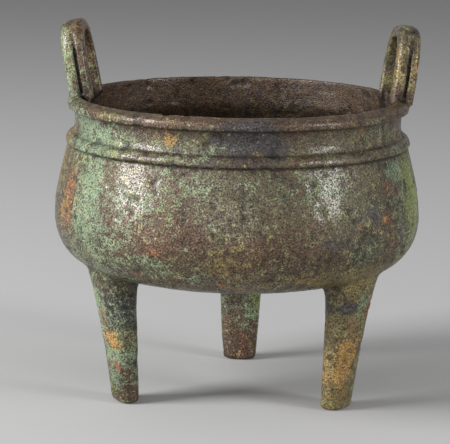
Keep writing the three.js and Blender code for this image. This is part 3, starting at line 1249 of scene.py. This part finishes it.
@dataclass(frozen=True)
class BronzeFinish:
    """Mottled patina on bronze, layer over layer, duller where the crust is thick, with painted shade
    darkening the recesses.
    """

    name: str
    ground_dark: str
    ground_light: str
    layers: tuple[Layer, ...]
    # Colour of the dark specks, and of the painted shade in the recesses
    shade: str = "17120e"
    speck: str = "b9bba6"
    metal: float = 0.5
    gloss: float = 0.36
    dullness: float = 0.3
    middle_dullness: float = 0.1
    coat: float = 0.9
    coat_least: float = 0.1
    coat_low: float = 0.3
    coat_high: float = 0.8
    coat_roughness: float = 0.2
    fine_tone: float = 0.65
    middle_tone: float = 0.35
    broad_crust: float = 0.25
    dark_specks: float = 0.6
    dark_speck_level: float = 0.22
    pale_specks: float = 0.35
    pale_speck_level: float = 0.84
    # How far the painted shade darkens the colour in the recesses
    recess_shade: float = 0.85
    bump: float = 0.9
    bump_depth: float = 0.32
    fine_bump: float = 0.5
    middle_bump: float = 0.6
    pit_bump: float = 0.3

    def _layered(self, wiring: Wiring, speckle: dict[str, Socket],
                 patch: Patch) -> tuple[Socket, Socket]:
        """Lays the corrosion colours over the bronze.

        Args:
            wiring: The material's wiring.
            speckle: The sockets of the shared speckle.
            patch: The shared ragged patch.

        Returns:
            The sockets of the colour and of how thick the crust is.
        """
        fine, middle = speckle["Fine"], speckle["Middle"]
        blend = wiring.plus(wiring.times(fine, self.fine_tone), wiring.times(middle, self.middle_tone))
        tone = wiring.mix(blend, colour(self.ground_dark), colour(self.ground_light))
        crust = wiring.times(speckle["Broad"], self.broad_crust)
        for layer in self.layers:
            weight = wiring.add("Attribute", attribute_name=layer.tint.value).outputs["Fac"]
            mask = patch.place(wiring, {"Weight": weight, "Fine": fine, "Middle": middle,
                                        "Speckle": layer.speckle, "Ragged": layer.ragged,
                                        "Softness": layer.softness})
            tone = wiring.mix(mask, tone, wiring.mix(fine, colour(layer.dark), colour(layer.light)))
            if layer.crusty:
                crust = wiring.math("MAXIMUM", crust, wiring.times(mask, layer.crusty))
        return tone, crust

    def _specked(self, wiring: Wiring, tone: Socket, fine: Socket, crust: Socket) -> Socket:
        """Adds dark specks everywhere and pale ones on the crust.

        Args:
            wiring: The material's wiring.
            tone: The colour's socket.
            fine: The fine speckle's socket.
            crust: The socket of how thick the crust is.

        Returns:
            The socket of the specked colour.
        """
        dark = wiring.ramp(fine, self.dark_speck_level, 0.0, 0.0, self.dark_specks)
        tone = wiring.mix(dark, tone, colour(self.shade))
        pale = wiring.times(wiring.ramp(fine, self.pale_speck_level, 1.0, 0.0, self.pale_specks), crust)
        return wiring.mix(pale, tone, colour(self.speck))

    def _relief(self, wiring: Wiring, speckle: dict[str, Socket]) -> Socket:
        """The fine bumps of the skin.

        Args:
            wiring: The material's wiring.
            speckle: The sockets of the shared speckle.

        Returns:
            The socket of the normals.
        """
        height = wiring.plus(wiring.times(speckle["Fine"], self.fine_bump),
                             wiring.times(speckle["Middle"], self.middle_bump))
        height = wiring.plus(height, wiring.times(speckle[Grain.PITS], self.pit_bump))
        bump = wiring.add("Bump", {"Strength": self.bump, "Distance": self.bump_depth * MM,
                                   "Height": height})
        return bump.outputs["Normal"]

    def build(self, grain: Grain, patch: Patch) -> bpy.types.Material:
        """Makes the material.

        Args:
            grain: The shared speckle.
            patch: The shared ragged patch.

        Returns:
            The finished material.
        """
        material = bpy.data.materials.new(self.name)
        material.use_nodes = True
        material.diffuse_color = colour(self.ground_light)
        wiring = Wiring(material.node_tree)
        speckle = grain.place(wiring)
        fine = speckle["Fine"]
        tone, crust = self._layered(wiring, speckle, patch)
        tone = self._specked(wiring, tone, fine, crust)
        # Painted shade, partly standing for dirt in the hollows: the colour is darkened towards the
        # shade colour where the form closes in, in creases, under the lip and the raised line and round
        # the roots of legs and ears.
        painted_recess_shade = wiring.add("Attribute", attribute_name=PAINTED_RECESS_SHADE).outputs["Fac"]
        tone = wiring.mix(wiring.times(painted_recess_shade, self.recess_shade), tone, colour(self.shade))
        rough = wiring.plus(wiring.times(crust, self.dullness), self.gloss)
        rough = wiring.plus(rough, wiring.times(speckle["Middle"], self.middle_dullness))
        bare = wiring.math("SUBTRACT", 1.0, crust, clamp=True)
        proud = wiring.math("SUBTRACT", 1.0, painted_recess_shade, clamp=True)
        waxed = wiring.ramp(fine, self.coat_low, self.coat_high, self.coat * self.coat_least, self.coat)
        wiring.feed(material.node_tree.nodes["Principled BSDF"], {
            "Base Color": tone,
            "Roughness": rough,
            "Metallic": wiring.times(bare, self.metal),
            "Coat Weight": wiring.times(proud, waxed),
            "Coat Roughness": self.coat_roughness,
            "Normal": self._relief(wiring, speckle),
        })
        return material


@dataclass(frozen=True)
class Vessel:
    """The dressed casting: it makes the mesh, paints the patina and the shade of its recesses, and puts
    on the finish.
    """

    casting: Casting
    relief: Relief
    patina: Patina
    finish: BronzeFinish
    triangles: int = 188000
    coarse: float = 1.3
    fine: float = 0.65
    quick_coarse: float = 2.0
    quick_fine: float = 1.0
    # Reaches and strengths of the painted shade in the recesses
    near_reach: float = 1.6
    near_shade: float = 1.6
    far_reach: float = 7.0
    far_shade: float = 0.7
    open_shade: float = 0.15

    def mesh(self) -> bpy.types.Object:
        """The roughened casting as one closed surface.

        Returns:
            The piece, not yet painted.
        """
        coarse, fine = self.coarse, self.fine
        lattice = Lattice(self.casting, coarse, fine)
        points, faces = lattice.surface()
        points = lattice.settled(points)
        points = points - self.relief.depth(points)[:, None] * self.casting.normals(points)
        points[:, 2] = np.maximum(points[:, 2], 0)
        data = bpy.data.meshes.new("vessel")
        data.from_pydata(points * MM, [], faces.tolist())
        piece = bpy.data.objects.new("vessel", data)
        bpy.context.scene.collection.objects.link(piece)
        log.info("surface of %d points and %d faces", len(points), len(faces))
        self._thin(piece)
        return piece

    def _thin(self, piece: bpy.types.Object) -> None:
        """Cuts the mesh down to its number of triangles, mostly where the surface is plain.

        Args:
            piece: The meshed casting.
        """
        data = piece.data
        count = 2 * len(data.polygons)
        if count <= self.triangles:
            return
        cut = piece.modifiers.new("thin", "DECIMATE")
        cut.ratio = self.triangles / count
        depsgraph = bpy.context.evaluated_depsgraph_get()
        thin = bpy.data.meshes.new_from_object(piece.evaluated_get(depsgraph))
        piece.modifiers.clear()
        piece.data = thin
        bpy.data.meshes.remove(data)

    def paint(self, piece: bpy.types.Object) -> None:
        """Stores the patina's weights and the painted shade of the recesses on the mesh.

        Args:
            piece: The meshed casting.
        """
        data = piece.data
        flat = np.empty(len(data.vertices) * 3)
        data.vertices.foreach_get("co", flat)
        points = flat.reshape(-1, 3) / MM
        layers = self.patina.weights(points, self.casting.sheltered(points))
        normals = self.casting.normals(points)
        # Painted shade: how far the space just outside each place is closed in by the form, like
        # ambient occlusion; the material darkens the colour by it.
        near, far = (1 - self.casting.distance(points + normals * reach) / reach
                     for reach in (self.near_reach, self.far_reach))
        shade = near * self.near_shade + far * self.far_shade - self.open_shade
        layers[PAINTED_RECESS_SHADE] = np.clip(shade, 0, 1)
        for name, value in layers.items():
            layer = data.attributes.new(name, "FLOAT", "POINT")
            layer.data.foreach_set("value", value.astype(np.float32))

    def build(self) -> bpy.types.Object:
        """Makes the piece, dressed and riding on the frame.

        Returns:
            The finished piece.
        """
        piece = self.mesh()
        self.paint(piece)
        piece.data.shade_smooth()
        piece.data.materials.append(self.finish.build(Grain(), Patch()))
        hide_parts(NODE)
        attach(piece, "root")
        return piece


@dataclass(frozen=True)
class SoftBox:
    """A soft light: a glowing rectangle that faces a point on the vessel."""

    name: str
    turn: float
    elevation: float
    distance: float
    wide: float
    tall: float
    power: float

    def build(self, target: Vector) -> bpy.types.Object:
        """Makes the light.

        Args:
            target: The point that it faces, in metres.

        Returns:
            The light's object.
        """
        data = bpy.data.lights.new(self.name, "AREA")
        data.shape = "RECTANGLE"
        data.size, data.size_y = self.wide, self.tall
        data.energy = self.power
        x, y = turn_to_point(self.turn, math.cos(math.radians(self.elevation)))
        way = Vector((x, y, math.sin(math.radians(self.elevation))))
        light = bpy.data.objects.new(self.name, data)
        light.location = target + way * self.distance
        light.rotation_euler = way.to_track_quat("Z", "Y").to_euler()
        bpy.context.scene.collection.objects.link(light)
        return light


@dataclass(frozen=True)
class Studio:
    """A pale floor, soft lights and the camera at the picture's angle. Lengths are metres."""

    aim: tuple[float, float, float] = (0.0, 0.0, 0.12)
    distance: float = 1.362
    elevation: float = 9.94
    roll: float = 0.94
    image_width: float = 450.0
    focal_pixels: float = 2270.0
    aim_right: float = 12.0
    aim_up: float = 29.1
    sensor: float = 36.0
    floor_half: float = 8.0
    # Painted light on the floor: pale near the vessel, darker far away
    floor_painted_light: str = "b0b0b0"
    floor_painted_falloff: str = "9a9a9a"
    floor_near_reach: float = 0.4
    floor_far_reach: float = 3.0
    floor_roughness: float = 0.9
    floor_gloss: float = 0.1
    sky_strength: float = 0.37
    lights: tuple[SoftBox, ...] = (
        SoftBox("left_box", turn=-70, elevation=24, distance=2.4, wide=0.95, tall=1.5, power=96.0),
        SoftBox("right_box", turn=61, elevation=20, distance=2.4, wide=0.6, tall=1.3, power=30.0),
        SoftBox("front_fill", turn=-8, elevation=7, distance=2.4, wide=1.6, tall=0.9, power=10.0),
    )

    def floor(self) -> bpy.types.Object:
        """Makes the floor, with painted light on it: paler near the vessel and darker further off, as
        the light falls off.

        Returns:
            The floor's object.
        """
        half = self.floor_half
        data = bpy.data.meshes.new("floor")
        data.from_pydata([(-half, -half, 0), (half, -half, 0), (half, half, 0), (-half, half, 0)],
                         [], [(0, 1, 2, 3)])
        floor = bpy.data.objects.new("floor", data)
        bpy.context.scene.collection.objects.link(floor)
        material = bpy.data.materials.new("studio_paper")
        material.use_nodes = True
        wiring = Wiring(material.node_tree)
        place = wiring.add("TexCoord").outputs["Object"]
        away = wiring.add("VectorMath", {0: place}, operation="LENGTH").outputs["Value"]
        share = wiring.ramp(away, self.floor_near_reach, self.floor_far_reach)
        tone = wiring.mix(share, colour(self.floor_painted_light), colour(self.floor_painted_falloff))
        wiring.feed(material.node_tree.nodes["Principled BSDF"], {
            "Base Color": tone,
            "Roughness": self.floor_roughness,
            "Specular IOR Level": self.floor_gloss,
        })
        data.materials.append(material)
        return floor

    def camera(self) -> None:
        """Places the camera, aimed at the vessel's axis from the picture's height."""
        data = bpy.data.cameras.new("camera")
        data.sensor_fit = "HORIZONTAL"
        data.sensor_width = self.sensor
        data.lens = self.sensor * self.focal_pixels / self.image_width
        data.shift_x = -self.aim_right / self.image_width
        data.shift_y = -self.aim_up / self.image_width
        angle = math.radians(self.elevation)
        way = Vector((0, -math.cos(angle), math.sin(angle)))
        camera = bpy.data.objects.new("camera", data)
        turned = way.to_track_quat("Z", "Y").to_matrix()
        turned = turned @ Matrix.Rotation(math.radians(self.roll), 3, "Z")
        camera.location = Vector(self.aim) + way * self.distance
        camera.rotation_euler = turned.to_euler()
        bpy.context.scene.collection.objects.link(camera)
        bpy.context.scene.camera = camera

    def build(self) -> None:
        """Makes the floor, the lights, the sky and the camera."""
        self.floor()
        for light in self.lights:
            light.build(Vector(self.aim))
        world = bpy.data.worlds.new("studio")
        world.use_nodes = True
        sky = world.node_tree.nodes["Background"]
        sky.inputs["Strength"].default_value = self.sky_strength
        sky.inputs["Color"].default_value = (1, 1, 1, 1)
        bpy.context.scene.world = world
        bpy.context.scene.view_settings.view_transform = "Standard"
        self.camera()


# Each stain's tint, turn and height, then the cloud's width, height and strength
STAINS = (
    # Left side of the belly, as seen from the front
    # This band along the left outline is partly khaki crust, partly a painted highlight line on the
    # edge.
    Stain(Tint.KHAKI, -84, 122, 20, 100, 0.45),
    Stain(Tint.RUST, -67, 120, 24, 46, 0.48),
    Stain(Tint.OCHRE, -70, 112, 14, 26, 0.42),
    Stain(Tint.MALACHITE, -54, 130, 26, 44, 0.42),
    Stain(Tint.CUPRITE, -45, 137, 14, 24, 0.40),
    Stain(Tint.CUPRITE, -40, 120, 26, 14, 0.42),
    Stain(Tint.MALACHITE, -32, 126, 26, 22, 0.30),
    Stain(Tint.MALACHITE, -52, 100, 50, 32, 0.38),
    Stain(Tint.KHAKI, -38, 96, 26, 20, 0.26),
    Stain(Tint.RUST, -34, 88, 18, 5, 0.48),
    # Middle of the belly
    Stain(Tint.CUPRITE, -21, 138, 36, 30, 0.26),
    Stain(Tint.CUPRITE, -26, 111, 52, 25, 0.46),
    Stain(Tint.RUST, -24, 103, 17, 8, 0.42),
    Stain(Tint.MALACHITE, -27, 92, 32, 14, 0.34),
    Stain(Tint.RUST, -20, 89, 9, 7, 0.60),
    Stain(Tint.MALACHITE, -10, 140, 18, 12, 0.20),
    Stain(Tint.CUPRITE, -14, 116, 22, 22, 0.30),
    Stain(Tint.MALACHITE, -7, 121, 11, 4, 0.42),
    Stain(Tint.RUST, -7, 125, 10, 3, 0.42),
    Stain(Tint.RUST, -6, 94, 8, 12, 0.46),
    Stain(Tint.MALACHITE, -12, 90, 16, 14, 0.36),
    Stain(Tint.KHAKI, 0, 97, 30, 28, 0.42),
    Stain(Tint.PLUM, 12, 113, 20, 10, 0.34),
    Stain(Tint.CUPRITE, 17, 105, 46, 24, 0.40),
    Stain(Tint.RUST, -2, 81, 34, 4, 0.45),
    # Right side of the belly
    Stain(Tint.KHAKI, 33, 84, 84, 11, 0.55),
    Stain(Tint.RUST, 25, 86, 12, 4, 0.42),
    Stain(Tint.MALACHITE, 28, 140, 40, 24, 0.22),
    Stain(Tint.PLUM, 30, 110, 18, 10, 0.36),
    Stain(Tint.MALACHITE, 43, 101, 20, 16, 0.32),
    Stain(Tint.RUST, 41, 114, 6, 4, 0.52),
    Stain(Tint.VERDIGRIS, 41, 109, 6, 4, 0.52),
    Stain(Tint.PLUM, 48, 121, 10, 12, 0.48),
    Stain(Tint.RUST, 58, 132, 16, 9, 0.40),
    Stain(Tint.MALACHITE, 59, 144, 14, 11, 0.38),
    Stain(Tint.RUST, 55, 115, 11, 10, 0.40),
    Stain(Tint.RUST, 56, 100, 12, 10, 0.40),
    Stain(Tint.MALACHITE, 64, 120, 24, 70, 0.44),
    # This band along the right outline is partly green crust, partly a painted reflection on the edge.
    Stain(Tint.VERDIGRIS, 74, 122, 24, 80, 0.68),
    Stain(Tint.KHAKI, 73, 85, 44, 20, 0.58),
    # Raised line and neck
    Stain(Tint.CUPRITE, 16, 153, 150, 7, 0.36),
    Stain(Tint.MALACHITE, -56, 164, 64, 22, 0.56),
    Stain(Tint.VERDIGRIS, -60, 151, 11, 6, 0.52),
    Stain(Tint.OCHRE, -84, 155, 14, 12, 0.58),
    Stain(Tint.RUST, -85, 151, 14, 9, 0.52),
    Stain(Tint.OCHRE, -22, 167, 13, 9, 0.46),
    Stain(Tint.MALACHITE, -8, 161, 10, 8, 0.42),
    Stain(Tint.PLUM, 4, 166, 46, 24, 0.75),
    Stain(Tint.MALACHITE, 5, 166, 42, 24, -0.45),
    Stain(Tint.RUST, 45, 167, 7, 5, 0.60),
    Stain(Tint.CUPRITE, 66, 161, 44, 26, 0.46),
    Stain(Tint.KHAKI, 68, 158, 26, 12, 0.40),
    # Lip, brown nearly all round
    Stain(Tint.CUPRITE, 20, 175, 2000, 11, 0.50),
    Stain(Tint.MALACHITE, 20, 176, 2000, 11, -0.30),
    Stain(Tint.MALACHITE, -78, 175, 46, 12, 0.55),
    Stain(Tint.KHAKI, -60, 177, 50, 8, 0.40),
    # Front left leg
    Stain(Tint.KHAKI, -60, 34, 60, 80, 0.30),
    Stain(Tint.MALACHITE, -60, 36, 60, 80, 0.26),
    Stain(Tint.VERDIGRIS, -65, 60, 9, 16, 0.60),
    Stain(Tint.MALACHITE, -62, 60, 10, 24, 0.50),
    Stain(Tint.PLUM, -53, 60, 16, 22, 0.52),
    Stain(Tint.RUST, -58, 51, 9, 7, 0.50),
    Stain(Tint.OCHRE, -58, 41, 16, 14, 0.72),
    Stain(Tint.VERDIGRIS, -67, 34, 8, 60, 0.42),
    Stain(Tint.MALACHITE, -57, 30, 24, 13, 0.46),
    Stain(Tint.RUST, -57, 23, 9, 7, 0.48),
    Stain(Tint.MALACHITE, -59, 15, 11, 13, 0.55),
    Stain(Tint.CUPRITE, -54, 12, 13, 20, 0.40),
    Stain(Tint.VERDIGRIS, -61, 6, 13, 10, 0.50),
    # Front right leg
    Stain(Tint.PLUM, 47, 61, 22, 8, 0.58),
    Stain(Tint.KHAKI, 50, 36, 50, 76, 0.66),
    Stain(Tint.MALACHITE, 55, 63, 10, 20, 0.55),
    Stain(Tint.RUST, 60, 60, 8, 20, 0.52),
    Stain(Tint.VERDIGRIS, 57, 47, 12, 22, 0.48),
    Stain(Tint.RUST, 49, 50, 13, 10, 0.44),
    Stain(Tint.OCHRE, 52, 37, 18, 16, 0.74),
    Stain(Tint.OCHRE, 51, 23, 12, 22, 0.60),
    Stain(Tint.MALACHITE, 43, 26, 8, 24, 0.60),
    Stain(Tint.VERDIGRIS, 43, 10, 9, 11, 0.60),
    Stain(Tint.KHAKI, 50, 10, 26, 30, 0.40),
    Stain(Tint.RUST, 51, 8, 14, 10, 0.42),
    # Rear leg
    Stain(Tint.PLUM, 180, 66, 26, 12, 0.50),
    Stain(Tint.VERDIGRIS, 170, 44, 8, 38, 0.58),
    Stain(Tint.MALACHITE, 173, 36, 8, 22, 0.48),
    Stain(Tint.MALACHITE, 189, 50, 5, 40, 0.45),
    Stain(Tint.CUPRITE, 180, 14, 28, 26, 0.60),
    Stain(Tint.RUST, 175, 10, 10, 14, 0.42),
    # Left ear: a green outer strand, a brown inner one and a dark red top
    Stain(Tint.KHAKI, 264, 200, 60, 50, 0.35),
    Stain(Tint.MALACHITE, 264, 198, 60, 40, 0.44, radius=104, deep=12),
    Stain(Tint.VERDIGRIS, 262, 203, 40, 24, 0.36, radius=105, deep=13),
    Stain(Tint.CUPRITE, 264, 200, 60, 50, 0.55, radius=90, deep=17),
    Stain(Tint.PLUM, 264, 221, 40, 10, 0.50),
    Stain(Tint.RUST, 264, 220, 40, 11, 0.36),
    # Right ear: brown with a dark red top
    Stain(Tint.KHAKI, 98, 198, 60, 46, 0.56),
    Stain(Tint.CUPRITE, 98, 204, 60, 40, 0.16),
    Stain(Tint.PLUM, 98, 220, 44, 11, 0.42),
    Stain(Tint.RUST, 92, 203, 9, 9, 0.52),
    Stain(Tint.OCHRE, 92, 196, 18, 18, 0.36),
    # Back, in keeping with the front
    Stain(Tint.CUPRITE, 150, 120, 70, 40, 0.36),
    Stain(Tint.MALACHITE, 205, 112, 60, 44, 0.34),
    Stain(Tint.MALACHITE, 130, 146, 50, 30, 0.26),
    Stain(Tint.KHAKI, 180, 86, 120, 14, 0.40),
    Stain(Tint.RUST, 190, 96, 12, 9, 0.50),
    Stain(Tint.OCHRE, 232, 130, 10, 12, 0.46),
)

PATINA = Patina(
    stains=STAINS,
    outside=((Tint.OLIVE, 0.74), (Tint.KHAKI, 0.16), (Tint.CUPRITE, 0.26), (Tint.PLUM, 0.10),
             (Tint.MALACHITE, 0.10)),
    inside=((Tint.OLIVE, 0.2), (Tint.CUPRITE, 0.78), (Tint.PLUM, 0.44)),
)

BRONZE = BronzeFinish(
    name="patinated_bronze",
    ground_dark="2c2219",
    ground_light="6b5a44",
    layers=(
        Layer(Tint.OLIVE, "37342a", "736b4c", speckle=0.3, ragged=0.5, softness=0.3, crusty=0.3),
        Layer(Tint.KHAKI, "4a4022", "998850", speckle=0.3, ragged=0.5, softness=0.3, crusty=0.4),
        Layer(Tint.CUPRITE, "32241b", "6e5239", speckle=0.3, ragged=-0.7, softness=0.3),
        Layer(Tint.PLUM, "262223", "514b4c", speckle=0.3, ragged=-0.5, softness=0.25),
        Layer(Tint.MALACHITE, "475746", "8fa37e", speckle=0.45, ragged=0.75, softness=0.3, crusty=0.7),
        Layer(Tint.VERDIGRIS, "56682f", "a0ae66", speckle=0.5, ragged=0.5, softness=0.3, crusty=0.7),
        Layer(Tint.RUST, "5c3320", "a8673f", speckle=0.5, ragged=0.6, softness=0.15, crusty=0.5),
        Layer(Tint.OCHRE, "7a5a2c", "bf954f", speckle=0.5, ragged=0.6, softness=0.2, crusty=0.6),
    ),
)


def main() -> None:
    """Builds the vessel and its studio, and reports each piece."""
    logging.basicConfig(level=logging.INFO, format="%(name)s: %(message)s")
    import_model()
    bowl = Bowl()
    legs = [
        Leg(turn=-61.2, width=20.9, depth=14.0, bowl=bowl),
        Leg(turn=55.2, width=22.6, depth=14.4, bowl=bowl),
        Leg(turn=177.5, width=20.9, depth=13.0, bowl=bowl),
    ]
    ears = [
        Ear(turn=264.0, lean=11.1, height=44.0, inset=8.8, groove=0.42, bowl=bowl),
        Ear(turn=98.5, lean=8.1, height=42.8, inset=5.0, groove=0.54, bowl=bowl),
    ]
    vessel = Vessel(Casting(bowl, legs, ears), Relief(), PATINA, BRONZE).build()
    log.info("%s: %d triangles", vessel.name, sum(len(p.vertices) - 2 for p in vessel.data.polygons))
    Studio().build()
    log.info("studio: floor, lights and camera")


if __name__ == "__main__":
    main()
